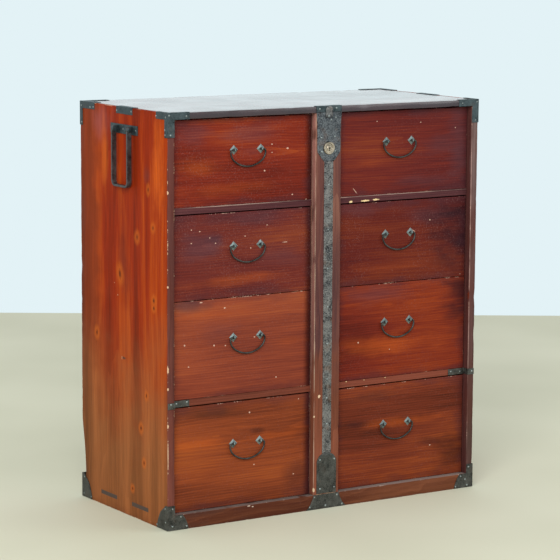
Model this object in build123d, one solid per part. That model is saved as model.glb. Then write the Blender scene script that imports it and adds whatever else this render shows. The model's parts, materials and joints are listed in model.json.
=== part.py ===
from build123d import *
from math import acos, degrees
import os

os.makedirs("parts", exist_ok=True)

# A lacquered clothing chest (isho-dansu) with two columns of four drawers. One wooden locking bar,
# bound in iron, stands in the shallow recess in front of the drawers, on the middle of the case.
# Frame: X to the right, Y to the back, Z up, origin on the floor under the middle of the case.
# Sizes are in millimetres.

# ---- Case
case_width = 905.0
case_depth = 430.0
case_height = 1000.0
side_thickness = 19.0
top_thickness = 16.0
top_lap = 11.0  # how far each end of the top board lies over a side board
bottom_thickness = 10.0
tenon_length = 82.0  # along the depth
front_tenon_middle = 135.0  # from the front of the case
rear_tenon_middle = 291.0
back_thickness = 9.0
back_rebate = 9.0  # how far the back boards reach into each side board
back_board_count = 4
partition_thickness = 20.0
centre_stile_thickness = 20.0
base_rail_height = 37.0
base_rail_thickness = 30.0
front_recess = 18.0  # drawer fronts and rails lie this far behind the front of the case
front_arris = 0.8  # eased corner along every front edge

# ---- Rails and shelves
rail_height = 15.5
rail_depth = 45.0
dust_panel_thickness = 9.0
shelf_thickness = 12.0
top_opening = 211.5  # clear heights of the openings, from the top down
upper_opening = 208.0
lower_opening = 238.0

# ---- Drawers
front_thickness = 20.0
front_bottom_gap = 0.4
front_top_gap = 3.0
meeting_gap = 0.8  # between the fronts of the two middle drawers
drawer_side_gap = 1.5
drawer_floor_gap = 0.3  # between a drawer and the boards it slides on
drawer_rear_gap = 0.8
drawer_headroom = 8.0
front_lap = 10.0  # how far the drawer's sides and bottom are let into its front
tray_side_thickness = 8.0
tray_bottom_thickness = 6.0
guide_height = 24.0
guide_gap = 0.5

# ---- Drawer pulls: a wire bail in two eyes, each on a pyramid washer
eye_spacing = 76.0
top_pull_drop = 80.0  # from the top of each opening down to the eyes
upper_pull_drop = 84.0
lower_pull_drop = 98.0
bottom_pull_drop = 105.5
washer_side = 16.5
washer_height = 2.2
washer_taper = 61.0
eye_wall = 1.5  # of the ring that the wire turns in
eye_thickness = 3.6
eye_seat_gap = 0.1  # between the ring and its slot in the washer
pin_radius = 1.7
clinch_length = 15.0  # the pin's two legs, opened flat behind the drawer front
clinch_thickness = 1.4
bail_wire_radius = 2.1
bail_eye_clearance = 0.3
bail_washer_gap = 0.3
bail_half_width = 48.7
bail_drop = 40.5
bail_hook_radius = 6.0
bail_shoulder_radius = 27.0
bail_end_overrun = 3.5  # how far the wire's end passes beyond the eye

# ---- Locking bar
bar_width = 74.5
bar_proud = 0.3  # how far the bar stands in front of the case
bar_back_gap = 0.3
bar_foot_gap = 0.3
bar_head_gap = 0.5
bar_arris = 1.6
tenon_width = 30.0
tenon_thickness = 6.0
tenon_setback = 6.0  # from the front of the case to the foot tenon
tenon_depth = 8.0
socket_clearance = 0.4
iron_thickness = 1.2
lock_plate_head_half_width = 36.6
lock_plate_lap = 1.4  # how far the lock plate rises over the top board's edge
lock_plate_waist_drop = 28.0  # from the plate's top to where it stops narrowing
lock_plate_waist_half_width = 34.0
lock_plate_corner_drop = 97.0
lock_plate_corner_half_width = 33.0
lock_plate_corner_radius = 14.0
lock_plate_length = 120.0  # down to its neck on the strap
lock_plate_neck_half_width = 14.5
strap_half_width = 13.0
tongue_half_width = 10.4
tongue_thickness = 1.5
tongue_length = 28.0
keeper_half_width = 37.0
keeper_gap = 0.4
keeper_wrap = 12.0
foot_plate_half_width = 29.0
foot_plate_corner_radius = 24.0
foot_plate_rise = 1.7  # above the bar's foot, clear of the base plate as the bar tips
foot_plate_height = 101.0
boss_radius = 15.8
boss_height = 3.4
boss_drop = 86.0  # from the underside of the top board to the middle of the boss
boss_rim_edge = 1.2  # height of the rim's outer edge
boss_rim_width = 3.4
boss_rim_slope = 1.3
boss_field_height = 1.5
boss_hub_radius = 5.6
boss_hub_slope = 1.6
keyhole_radius = 2.4
keyhole_slot_width = 2.2
keyhole_slot_length = 7.0
base_plate_foot_half_width = 58.0
base_plate_floor_gap = 1.0

# ---- Lock inside the bar
lock_width = 36.0
lock_length = 96.0
lock_setback = 4.0
lock_depth = 11.0
lock_wall = 1.5
bolt_width = 18.0
bolt_thickness = 5.0
bolt_gap = 0.2
bolt_travel = 8.0
bolt_rest_drop = 1.0  # the drawn-back bolt's head, below the bar's head
bolt_length = 70.0
bolt_notch_width = 6.0  # in the bolt's tail, where the key's bit lifts it
bolt_notch_height = 9.0

# ---- Carrying handles: an iron strap bent to a long loop, on two lugs high on each side
handle_middle = 206.0  # from the front of the case
handle_top_drop = 41.0  # from the case's top to the back plate
handle_plate_length = 132.0
handle_plate_height = 22.5
handle_plate_thickness = 2.0
loop_outer_width = 80.0
loop_length = 139.0  # from the pivot to the outside of the strap's foot
loop_strap_width = 12.0
loop_strap_thickness = 5.2
loop_bend_radius = 9.0  # inside the bends
loop_eye_radius = 7.0
loop_plate_gap = 1.2
lug_thickness = 6.0
lug_gap = 0.3
handle_pin_radius = 3.0
handle_pin_clearance = 0.1
pin_head_radius = 6.0
pin_head_height = 2.6
pin_head_taper = 35.0

# ---- Corner irons
corner_front_arm = 60.0
corner_rear_arm = 72.0
corner_side_arm = 53.0
corner_rear_side_arm = 74.0
corner_down_arm = 58.0
corner_side_width = 16.0
corner_side_down_width = 12.5
corner_top_width = 9.0
corner_rear_top_width = 18.0
edge_clip_length = 80.0
edge_clip_drop = 16.5
edge_clip_wrap = 16.0
foot_iron_height = 61.0
foot_iron_floor_gap = 1.0
foot_iron_shoulder = 21.0  # along the rail's top, past the side board
foot_iron_reach = 38.0  # along the rail's foot, past the side board
foot_iron_side_neck = 9.0
foot_iron_side_shoulder = 33.0
foot_iron_side_shoulder_height = 43.0
foot_iron_side_reach = 51.0
foot_iron_bulge = 3.0  # how far the slanted edge swells outward
rail_strap_length = 50.0

# ---- Worn arris low on the left side board's rear edge
wear_depth = 19.0
wear_top = 200.0
wear_middle = 40.0

# ---- Places worked out from the sizes
half_width = case_width / 2
inner_half = half_width - side_thickness
front_y = -case_depth / 2
back_y = case_depth / 2
recess_y = front_y + front_recess
front_back_y = recess_y + front_thickness
board_y = back_y - back_thickness
ceiling_z = case_height - top_thickness
floor_z = base_rail_height
top_rail_z = ceiling_z - top_opening
meeting_z = top_rail_z - rail_height - upper_opening
low_rail_z = meeting_z - lower_opening
shelf_top_z = meeting_z + shelf_thickness / 2
shelf_under_z = meeting_z - shelf_thickness / 2
partition_half = partition_thickness / 2
bar_half = bar_width / 2
stile_back_y = recess_y + centre_stile_thickness
drawer_inner = bar_half + drawer_side_gap
drawer_outer = inner_half - drawer_side_gap
tray_front_y = front_back_y - front_lap
tray_back_y = board_y - drawer_rear_gap
pull_x = (partition_half + inner_half) / 2
eye_inner_radius = bail_wire_radius + bail_eye_clearance
eye_outer_radius = eye_inner_radius + eye_wall
pivot_y = recess_y - washer_height - bail_washer_gap - bail_wire_radius
bar_front_y = front_y - bar_proud
bar_back_y = recess_y - bar_back_gap
bar_foot_z = floor_z + bar_foot_gap
bar_head_z = ceiling_z - bar_head_gap
sides = {"left": -1, "right": 1}


class Row:
    """One level of drawers: the opening, what the drawer slides on and where its pull sits."""

    def __init__(self, low, high, floor, ceiling, top_gap, pull_drop):
        self.front_low = low + front_bottom_gap
        self.front_high = high - top_gap
        self.slide_z = floor + drawer_floor_gap
        self.tray_floor_z = self.slide_z + tray_bottom_thickness
        self.tray_top_z = ceiling - drawer_headroom
        self.pull_z = high - pull_drop
        self.guide_low = floor


rows = {
    "top": Row(top_rail_z, ceiling_z, top_rail_z, ceiling_z, front_top_gap, top_pull_drop),
    "upper": Row(meeting_z, top_rail_z - rail_height, shelf_top_z, top_rail_z - rail_height,
                 front_top_gap, upper_pull_drop),
    "lower": Row(low_rail_z, meeting_z, low_rail_z, shelf_under_z, meeting_gap, lower_pull_drop),
    "bottom": Row(floor_z, low_rail_z - rail_height, floor_z, low_rail_z - rail_height,
                  front_top_gap, bottom_pull_drop),
}


# ---- Helpers
def slab(x, y, z):
    """A plain board between two values on each axis."""
    low = [min(pair) for pair in (x, y, z)]
    high = [max(pair) for pair in (x, y, z)]
    size = [top - bottom for bottom, top in zip(low, high)]
    middle = [(top + bottom) / 2 for bottom, top in zip(low, high)]
    return Pos(*middle) * Box(*size)


def across(side, inner, outer):
    """Two distances from the middle of the case, as places on the side's half of the X axis."""
    return side * inner, side * outer


def front_sheet(y):
    """A sketching plane that faces the front; its axes are the case's X and Z."""
    return Plane(origin=(0, y, 0), x_dir=(1, 0, 0), z_dir=(0, -1, 0))


def ease(board, edges):
    """The board with a small flat along the edges that hands and drawers rub."""
    return chamfer(edges, front_arris) if edges else board


def front_edges(board):
    """The edges around the board's front face."""
    return board.faces().sort_by(Axis.Y)[0].edges()


def save(node, *solids):
    """Write the node's STEP file, each solid kept separate."""
    pieces = [piece for solid in solids for piece in solid.solids()]
    shape = pieces[0] if len(pieces) == 1 else Compound(children=pieces)
    export_step(shape, f"parts/{node}.step")


# ---- Case boards
def bottom_tenons(side):
    """The bottom board's two through tenons on one side; they also cut their mortises."""
    return [
        slab(across(side, inner_half, half_width),
             (front_y + middle - tenon_length / 2, front_y + middle + tenon_length / 2),
             (floor_z - bottom_thickness, floor_z))
        for middle in (front_tenon_middle, rear_tenon_middle)
    ]


def side_board(side):
    board = slab(across(side, inner_half, half_width), (front_y, back_y), (0, case_height))
    board = ease(board, front_edges(board))
    shoulder = across(side, inner_half, inner_half + top_lap)
    board -= slab(shoulder, (front_y, back_y), (ceiling_z, case_height))
    rebate = across(side, inner_half, inner_half + back_rebate)
    board -= slab(rebate, (board_y, back_y), (0, ceiling_z))
    for mortise in bottom_tenons(side):
        board -= mortise
    return board


def worn(board):
    """The left board after years of knocks: the outer arris is worn back low on its rear edge."""
    reach = wear_top - wear_middle
    radius = reach ** 2 / (2 * wear_depth) + wear_depth / 2
    depth_of_wear = side_thickness - back_rebate
    middle_x = -half_width + depth_of_wear / 2
    scoop = Pos(middle_x, back_y - wear_depth + radius, wear_middle) * Rot(0, 90, 0)
    return board - scoop * Cylinder(radius, depth_of_wear)


def top_board():
    reach = inner_half + top_lap
    board = slab((-reach, reach), (front_y, back_y), (ceiling_z, case_height))
    board = ease(board, front_edges(board))
    return board - bolt_mortise()


def bolt_mortise():
    """The blind hole in the top board's underside that the lock's bolt shoots up into."""
    half = bolt_width / 2 + socket_clearance
    bolt_y = bar_front_y + lock_setback + lock_depth / 2
    reach = bolt_thickness / 2 + socket_clearance
    depth = bolt_travel - bolt_rest_drop - bar_head_gap + 2 * socket_clearance
    return slab((-half, half), (bolt_y - reach, bolt_y + reach), (ceiling_z, ceiling_z + depth))


def bottom_board():
    board = slab((-inner_half, inner_half), (front_y + base_rail_thickness, board_y),
                 (floor_z - bottom_thickness, floor_z))
    for side in sides.values():
        for tenon in bottom_tenons(side):
            board += tenon
    return board


def foot_socket():
    """Room in the base rail for the bar's foot tenon, and for its swing as the bar tips forward."""
    half = tenon_width / 2 + socket_clearance
    far_corner = ((tenon_setback + tenon_thickness) ** 2 + tenon_depth ** 2) ** 0.5
    return slab((-half, half),
                (front_y + tenon_setback - socket_clearance, front_y + far_corner + socket_clearance),
                (floor_z - tenon_depth - socket_clearance, floor_z))


def base_rail():
    rail = slab((-inner_half, inner_half), (front_y, front_y + base_rail_thickness), (0, floor_z))
    rail = ease(rail, front_edges(rail).sort_by(Axis.Z)[-1:])
    return rail - foot_socket()


def back_boards():
    reach = inner_half + back_rebate
    height = ceiling_z / back_board_count
    return [
        slab((-reach, reach), (board_y, back_y), (index * height, (index + 1) * height))
        for index in range(back_board_count)
    ]


def centre_partition():
    partition = slab((-partition_half, partition_half), (stile_back_y, board_y), (floor_z, ceiling_z))
    stile = slab((-bar_half, bar_half), (recess_y, stile_back_y), (floor_z, ceiling_z))
    return partition, stile


def drawer_rails():
    """Front rails with their dust panels, above and below the two middle drawers."""
    rails = []
    for side in sides.values():
        for top in (top_rail_z, low_rail_z):
            reach = across(side, partition_half, inner_half)
            rail = slab(reach, (recess_y, recess_y + rail_depth), (top - rail_height, top))
            rail -= slab((-bar_half, bar_half), (recess_y, stile_back_y), (top - rail_height, top))
            panel = slab(reach, (recess_y + rail_depth, board_y), (top - dust_panel_thickness, top))
            rails += [rail, panel]
    return rails


def middle_shelves():
    """The shelves behind the line where the fronts of the two middle drawers meet."""
    return [
        slab(across(side, partition_half, inner_half), (front_back_y + drawer_side_gap, board_y),
             (shelf_under_z, shelf_top_z))
        for side in sides.values()
    ]


def drawer_guides():
    """Strips beside the partition that keep each drawer's inner side in line."""
    return [
        slab(across(side, partition_half, drawer_inner - guide_gap), (front_back_y + guide_gap, board_y),
             (row.guide_low, row.guide_low + guide_height))
        for side in sides.values()
        for row in rows.values()
    ]


# ---- Drawers
def pull_eyes(side):
    """The X places of a pull's two eyes."""
    return [side * pull_x + offset for offset in (-eye_spacing / 2, eye_spacing / 2)]


def drawer_front(side, row):
    front = slab(across(side, drawer_inner, drawer_outer), (recess_y, front_back_y),
                 (row.front_low, row.front_high))
    front = ease(front, front_edges(front))
    for inner in (drawer_inner, drawer_outer - tray_side_thickness):
        front -= slab(across(side, inner, inner + tray_side_thickness), (tray_front_y, front_back_y),
                      (row.tray_floor_z, row.tray_top_z))
    front -= slab(across(side, drawer_inner, drawer_outer), (tray_front_y, front_back_y),
                  (row.slide_z, row.tray_floor_z))
    for x in pull_eyes(side):
        hole = Pos(x, (recess_y + front_back_y) / 2, row.pull_z) * Rot(90, 0, 0)
        front -= hole * Cylinder(pin_radius, front_thickness)
    return front


def drawer_tray(side, row):
    """The drawer's two sides, back and bottom."""
    walls = [
        slab(across(side, inner, inner + tray_side_thickness), (tray_front_y, tray_back_y),
             (row.tray_floor_z, row.tray_top_z))
        for inner in (drawer_inner, drawer_outer - tray_side_thickness)
    ]
    rear = slab(across(side, drawer_inner + tray_side_thickness, drawer_outer - tray_side_thickness),
                (tray_back_y - tray_side_thickness, tray_back_y), (row.tray_floor_z, row.tray_top_z))
    bottom = slab(across(side, drawer_inner, drawer_outer), (tray_front_y, tray_back_y),
                  (row.slide_z, row.tray_floor_z))
    return *walls, rear, bottom


def pull_fixings(side, row):
    """For each end of the pull, a pyramid washer, slotted for an eye whose legs are clinched inside."""
    pieces = []
    for x in pull_eyes(side):
        square = Rectangle(washer_side, washer_side, rotation=45)
        face = front_sheet(recess_y) * Pos(x, row.pull_z) * square
        washer = extrude(face, amount=washer_height, taper=washer_taper)
        bore = front_sheet(recess_y) * Pos(x, row.pull_z) * Circle(pin_radius)
        washer -= extrude(bore, amount=washer_height)
        axis = Pos(x, pivot_y, row.pull_z) * Rot(0, 90, 0)
        washer -= axis * Cylinder(eye_outer_radius + eye_seat_gap, eye_thickness + 2 * eye_seat_gap)
        eye = axis * (Cylinder(eye_outer_radius, eye_thickness) - Cylinder(eye_inner_radius, eye_thickness))
        shank_y = pivot_y + (eye_outer_radius + eye_inner_radius) / 2
        shank = front_sheet(front_back_y + clinch_thickness) * Pos(x, row.pull_z) * Circle(pin_radius)
        eye += extrude(shank, amount=front_back_y + clinch_thickness - shank_y)
        eye += slab((x - clinch_length / 2, x + clinch_length / 2),
                    (front_back_y, front_back_y + clinch_thickness),
                    (row.pull_z - pin_radius, row.pull_z + pin_radius))
        pieces += [washer, eye]
    return pieces


def pull_bail(side, row):
    """A round wire bent to a shallow U, its ends turned inward through the eyes."""
    end_x = eye_spacing / 2 - eye_thickness / 2 - bail_end_overrun
    drop = bail_drop - bail_hook_radius
    reach = bail_half_width - bail_shoulder_radius
    foot_radius = (reach ** 2 + drop ** 2 - bail_shoulder_radius ** 2) / (2 * (drop - bail_shoulder_radius))
    turn = degrees(acos((foot_radius - drop) / (foot_radius - bail_shoulder_radius)))
    start = Line((-end_x, 0), (-bail_half_width + bail_hook_radius, 0))
    hook = JernArc(start @ 1, (-1, 0), bail_hook_radius, 90)
    shoulder = JernArc(hook @ 1, (0, -1), bail_shoulder_radius, 90 - turn)
    foot = JernArc(shoulder @ 1, shoulder % 1, foot_radius, 2 * turn)
    other_shoulder = JernArc(foot @ 1, foot % 1, bail_shoulder_radius, 90 - turn)
    other_hook = JernArc(other_shoulder @ 1, (0, 1), bail_hook_radius, 90)
    end = Line(other_hook @ 1, (end_x, 0))
    plane = Plane(origin=(side * pull_x, pivot_y, row.pull_z), x_dir=(1, 0, 0), z_dir=(0, -1, 0))
    path = plane * Wire([start, hook, shoulder, foot, other_shoulder, other_hook, end])
    section = Plane(origin=path @ 0, z_dir=path % 0) * Circle(bail_wire_radius)
    return sweep(section, path=path)


# ---- Locking bar
def locking_bar():
    bar = slab((-bar_half, bar_half), (bar_front_y, bar_back_y), (bar_foot_z, bar_head_z))
    bar = chamfer(front_edges(bar).filter_by(Axis.Z), bar_arris)
    half = tenon_width / 2
    bar += slab((-half, half), (front_y + tenon_setback, front_y + tenon_setback + tenon_thickness),
                (floor_z - tenon_depth, bar_foot_z))
    return bar - lock_pocket() - keyhole()


def lock_pocket():
    """The room in the bar's head for the lock; it opens at the head."""
    half = lock_width / 2
    return slab((-half, half), (bar_front_y + lock_setback, bar_front_y + lock_setback + lock_depth),
                (bar_head_z - lock_length, bar_head_z))


def lock_case():
    """A folded iron case that lines the pocket; the bolt slides up and down in it."""
    front = bar_front_y + lock_setback
    half = lock_width / 2
    case = slab((-half, half), (front, front + lock_depth), (bar_head_z - lock_length, bar_head_z))
    bolt_half = bolt_width / 2 + bolt_gap
    middle = front + lock_depth / 2
    reach = bolt_thickness / 2 + bolt_gap
    case -= slab((-bolt_half, bolt_half), (middle - reach, middle + reach),
                 (bar_head_z - lock_length + lock_wall, bar_head_z))
    return case - keyhole()


def lock_bolt():
    middle = bar_front_y + lock_setback + lock_depth / 2
    head = bar_head_z - bolt_rest_drop
    half = bolt_width / 2
    bolt = slab((-half, half), (middle - bolt_thickness / 2, middle + bolt_thickness / 2),
                (head - bolt_length, head))
    notch = slab((-bolt_notch_width / 2, bolt_notch_width / 2),
                 (middle - bolt_thickness, middle + bolt_thickness),
                 (head - bolt_length, head - bolt_length + bolt_notch_height))
    return bolt - notch


def lock_plate():
    """The pierced plate on the bar's head: it narrows to a waist, then slants in to a neck at the strap."""
    top = ceiling_z + lock_plate_lap
    low = top - lock_plate_length
    half_outline = make_face(Polyline(
        (0, low), (lock_plate_neck_half_width, low),
        (lock_plate_corner_half_width, top - lock_plate_corner_drop),
        (lock_plate_waist_half_width, top - lock_plate_waist_drop),
        (lock_plate_head_half_width, top), (0, top), (0, low)))
    outline = half_outline + mirror(half_outline, about=Plane.YZ)
    outline = fillet(outline.vertices().group_by(Axis.Y)[1], lock_plate_corner_radius)
    return extrude(front_sheet(bar_front_y) * outline, amount=iron_thickness) - keyhole()


def keyhole_z():
    """The height of the boss's middle."""
    return ceiling_z - boss_drop


def keyhole():
    """The round hole and slot for the key, from the boss's face into the lock."""
    depth = iron_thickness + boss_height + lock_setback + lock_depth / 2
    sheet = front_sheet(bar_front_y + lock_setback + lock_depth / 2)
    outline = Pos(0, keyhole_z()) * Circle(keyhole_radius)
    slot = Rectangle(keyhole_slot_width, keyhole_slot_length)
    outline += Pos(0, keyhole_z() - keyhole_slot_length / 2) * slot
    return extrude(sheet * outline, amount=depth)


def bar_strap():
    low = bar_foot_z + foot_plate_rise + foot_plate_height
    high = ceiling_z + lock_plate_lap - lock_plate_length
    return slab((-strap_half_width, strap_half_width), (bar_front_y - iron_thickness, bar_front_y),
                (low, high))


def bar_foot_plate():
    """The round-headed plate at the bar's foot."""
    low = bar_foot_z + foot_plate_rise
    outline = Pos(0, low + foot_plate_height / 2) * Rectangle(2 * foot_plate_half_width, foot_plate_height)
    outline = fillet(outline.vertices().group_by(Axis.Y)[-1], foot_plate_corner_radius)
    return extrude(front_sheet(bar_front_y) * outline, amount=iron_thickness)


def hasp_tongue():
    """The round-ended tongue that rises from the lock plate in front of the keeper."""
    top = case_height + iron_thickness - keeper_gap
    half = tongue_half_width
    straight = tongue_length - half
    outline = Pos(0, top - tongue_length + straight / 2) * Rectangle(2 * half, straight)
    outline += Pos(0, top - half) * Circle(half)
    return extrude(front_sheet(bar_front_y - iron_thickness) * outline, amount=tongue_thickness)


def lock_boss():
    """A turned brass boss: a raised rim, a sunk field and a hub that the key goes into."""
    rim_inner = boss_radius - boss_rim_slope - boss_rim_width
    profile = make_face(Polyline(
        (0, 0), (boss_radius, 0), (boss_radius, boss_rim_edge), (boss_radius - boss_rim_slope, boss_height),
        (rim_inner, boss_height), (rim_inner - boss_rim_slope, boss_field_height),
        (boss_hub_radius + boss_hub_slope, boss_field_height), (boss_hub_radius, boss_height),
        (0, boss_height), (0, 0)))
    turned = revolve(Plane.XZ * profile, axis=Axis.Z)
    return Pos(0, bar_front_y - iron_thickness, keyhole_z()) * Rot(90, 0, 0) * turned - keyhole()


# ---- Irons fixed to the case
def keeper_plate():
    """A plate on the top board's front edge, turned back over the top."""
    half = keeper_half_width
    low = ceiling_z + lock_plate_lap + keeper_gap
    top = case_height + iron_thickness
    face = slab((-half, half), (front_y - iron_thickness, front_y), (low, top))
    return face + slab((-half, half), (front_y, front_y + keeper_wrap), (case_height, top))


def base_centre_plate():
    """A plate on the base rail under the bar; its sides sweep out to the floor."""
    low = base_plate_floor_gap
    high = floor_z
    foot = base_plate_foot_half_width
    sweep_out = [
        Line((foot, low), (-foot, low)),
        ThreePointArc((-foot, low), (-(foot + 2 * bar_half) / 3, (low + high) / 2), (-bar_half, high)),
        Line((-bar_half, high), (bar_half, high)),
        ThreePointArc((bar_half, high), ((foot + 2 * bar_half) / 3, (low + high) / 2), (foot, low)),
    ]
    return extrude(front_sheet(front_y) * make_face(Wire(sweep_out)), amount=iron_thickness)


def corner_iron(side, end):
    """An iron folded over a top corner: two arms on the front or back, two on the side, one on top."""
    skin = iron_thickness
    edge_y = end * back_y
    outer = half_width + skin
    top = case_height + skin
    face_arm = corner_front_arm if end < 0 else corner_rear_arm
    side_arm = corner_side_arm if end < 0 else corner_rear_side_arm
    top_width = corner_top_width if end < 0 else corner_rear_top_width
    face_y = (edge_y, edge_y + end * skin)
    inward = edge_y - end * side_arm
    iron = slab(across(side, half_width - face_arm, outer), face_y, (ceiling_z, top))
    iron += slab(across(side, inner_half, outer), face_y, (case_height - corner_down_arm, top))
    flank = across(side, half_width, outer)
    iron += slab(flank, (edge_y, inward), (case_height - corner_side_width, top))
    iron += slab(flank, (edge_y, edge_y - end * corner_side_down_width),
                 (case_height - corner_down_arm, top))
    iron += slab(across(side, half_width - face_arm, half_width),
                 (edge_y, edge_y - end * top_width), (case_height, top))
    iron += slab(across(side, half_width - top_width, half_width), (edge_y, inward), (case_height, top))
    return iron


def edge_clip(side):
    """A clip folded over the middle of a side board's top edge."""
    middle = front_y + handle_middle
    length = (middle - edge_clip_length / 2, middle + edge_clip_length / 2)
    top = case_height + iron_thickness
    clip = slab(across(side, half_width, half_width + iron_thickness), length,
                (case_height - edge_clip_drop, top))
    return clip + slab(across(side, half_width - edge_clip_wrap, half_width), length, (case_height, top))


def corner_irons():
    irons = [corner_iron(side, end) for side in sides.values() for end in (-1, 1)]
    return irons + [edge_clip(side) for side in sides.values()]


def foot_outline(neck, shoulder, shoulder_z, reach):
    """One face of a foot iron: a neck on the post, then a slanted, swelling edge down to the floor."""
    low = foot_iron_floor_gap
    middle = ((shoulder + reach) / 2 + foot_iron_bulge, (shoulder_z + low) / 2)
    edge = Polyline((reach, low), (0, low), (0, foot_iron_height), (neck, foot_iron_height),
                    (neck, shoulder_z), (shoulder, shoulder_z))
    return make_face(edge + ThreePointArc((shoulder, shoulder_z), middle, (reach, low)))


def foot_flank_outline():
    """The iron's face on the side board, which slants from the neck to the shoulder."""
    low = foot_iron_floor_gap
    shoulder = (foot_iron_side_shoulder, foot_iron_side_shoulder_height)
    middle = ((shoulder[0] + foot_iron_side_reach) / 2 + foot_iron_bulge, (shoulder[1] + low) / 2)
    edge = Polyline((foot_iron_side_reach, low), (0, low), (0, foot_iron_height),
                    (foot_iron_side_neck, foot_iron_height), shoulder)
    return make_face(edge + ThreePointArc(shoulder, middle, (foot_iron_side_reach, low)))


def foot_irons():
    """Irons around the four bottom corners."""
    irons = []
    neck = side_thickness + iron_thickness
    outline = foot_outline(neck, neck + foot_iron_shoulder, floor_z, neck + foot_iron_reach)
    for side in sides.values():
        for end in (-1, 1):
            edge_y = end * back_y
            corner_x = side * (half_width + iron_thickness)
            face_sheet = Plane(origin=(corner_x, edge_y, 0), x_dir=(-side, 0, 0), z_dir=(0, side, 0))
            iron = extrude(face_sheet * outline, amount=iron_thickness, dir=(0, end, 0))
            flank_sheet = Plane(origin=(side * half_width, edge_y, 0), x_dir=(0, -end, 0), z_dir=(-end, 0, 0))
            iron += extrude(flank_sheet * foot_flank_outline(), amount=iron_thickness, dir=(side, 0, 0))
            irons.append(iron)
    return irons


def rail_straps():
    """Straps that tie the low rails to the side boards, stepped over the side's front edge."""
    straps = []
    skin = iron_thickness
    z = (low_rail_z - rail_height, low_rail_z)
    for side in sides.values():
        strap = slab(across(side, inner_half - skin, half_width), (front_y - skin, front_y), z)
        strap += slab(across(side, inner_half - skin, inner_half), (front_y - skin, recess_y), z)
        strap += slab(across(side, inner_half - rail_strap_length, inner_half), (recess_y - skin, recess_y), z)
        straps.append(strap)
    return straps


# ---- Carrying handles
def handle_places(side):
    """The handle's pivot on one side: its X and Z, and the Y of the middle."""
    pivot_x = side * (half_width + handle_plate_thickness + loop_plate_gap + loop_strap_width / 2)
    pivot_z = case_height - handle_top_drop - handle_plate_height / 2
    return pivot_x, front_y + handle_middle, pivot_z


def carrying_handle_plate(side):
    """The back plate with its two lugs, and the two headed pins that the loop turns on."""
    pivot_x, middle_y, pivot_z = handle_places(side)
    half = handle_plate_length / 2
    plate = slab(across(side, half_width, half_width + handle_plate_thickness),
                 (middle_y - half, middle_y + half),
                 (pivot_z - handle_plate_height / 2, pivot_z + handle_plate_height / 2))
    pins = []
    arm = loop_outer_width / 2
    for end in (-1, 1):
        lug_outer = arm - loop_strap_thickness - lug_gap
        lug_y = (middle_y + end * (lug_outer - lug_thickness), middle_y + end * lug_outer)
        lug = slab((side * half_width, pivot_x), lug_y, (pivot_z - loop_eye_radius, pivot_z + loop_eye_radius))
        along = Pos(pivot_x, (lug_y[0] + lug_y[1]) / 2, pivot_z) * Rot(90, 0, 0)
        lug += along * Cylinder(loop_eye_radius, lug_thickness)
        plate += lug
        bore = along * Cylinder(handle_pin_radius, lug_thickness)
        plate -= bore
        length = arm + lug_gap - (lug_outer - lug_thickness)
        shank_middle = middle_y + end * (arm + lug_gap - length / 2)
        pin = Pos(pivot_x, shank_middle, pivot_z) * Rot(90, 0, 0) * Cylinder(handle_pin_radius, length)
        head_y = middle_y + end * (arm + lug_gap)
        head_plane = Plane(origin=(pivot_x, head_y, pivot_z), x_dir=(1, 0, 0), z_dir=(0, end, 0))
        dome = extrude(head_plane * Circle(pin_head_radius), amount=pin_head_height, taper=pin_head_taper)
        pins.append(pin + dome)
    return plate, *pins


def carrying_handle_loop(side):
    """A flat strap bent to a long U, with a round eye at the top of each arm."""
    pivot_x, middle_y, pivot_z = handle_places(side)
    half = loop_outer_width / 2
    thickness = loop_strap_thickness
    outer_radius = loop_bend_radius + thickness
    outer = Pos(0, -loop_length / 2) * Rectangle(2 * half, loop_length)
    outer = fillet(outer.vertices().sort_by(Axis.Y)[:2], outer_radius)
    inner = Pos(0, -(loop_length - thickness) / 2) * Rectangle(2 * (half - thickness), loop_length - thickness)
    inner = fillet(inner.vertices().sort_by(Axis.Y)[:2], loop_bend_radius)
    plane = Plane(origin=(pivot_x, middle_y, pivot_z), x_dir=(0, 1, 0), z_dir=(1, 0, 0))
    loop = extrude(plane * (outer - inner), amount=loop_strap_width / 2, both=True)
    for end in (-1, 1):
        arm_y = middle_y + end * (half - thickness / 2)
        eye = Pos(pivot_x, arm_y, pivot_z) * Rot(90, 0, 0)
        loop += eye * Cylinder(loop_eye_radius, thickness)
        loop -= eye * Cylinder(handle_pin_radius + handle_pin_clearance, thickness)
    return loop


# ---- Write every node
save("left_side_board", worn(side_board(-1)))
save("right_side_board", side_board(1))
save("top_board", top_board())
save("bottom_board", bottom_board())
save("base_rail", base_rail())
save("back_boards", *back_boards())
save("centre_partition", *centre_partition())
save("drawer_rails", *drawer_rails())
save("middle_shelves", *middle_shelves())
save("drawer_guides", *drawer_guides())
save("corner_irons", *corner_irons())
save("foot_irons", *foot_irons())
save("rail_straps", *rail_straps())
save("keeper_plate", keeper_plate())
save("base_centre_plate", base_centre_plate())
for side_name, side in sides.items():
    save(f"carrying_handle_plate_{side_name}", *carrying_handle_plate(side))
    save(f"carrying_handle_loop_{side_name}", carrying_handle_loop(side))
    for row_name, row in rows.items():
        place = f"{side_name}_{row_name}"
        save(f"drawer_front_{place}", drawer_front(side, row))
        save(f"drawer_tray_{place}", *drawer_tray(side, row))
        save(f"pull_fixings_{place}", *pull_fixings(side, row))
        save(f"pull_bail_{place}", pull_bail(side, row))
save("locking_bar", locking_bar())
save("lock_case", lock_case())
save("lock_bolt", lock_bolt())
save("lock_plate", lock_plate())
save("hasp_tongue", hasp_tongue())
save("bar_strap", bar_strap())
save("bar_foot_plate", bar_foot_plate())
save("lock_boss", lock_boss())
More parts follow.
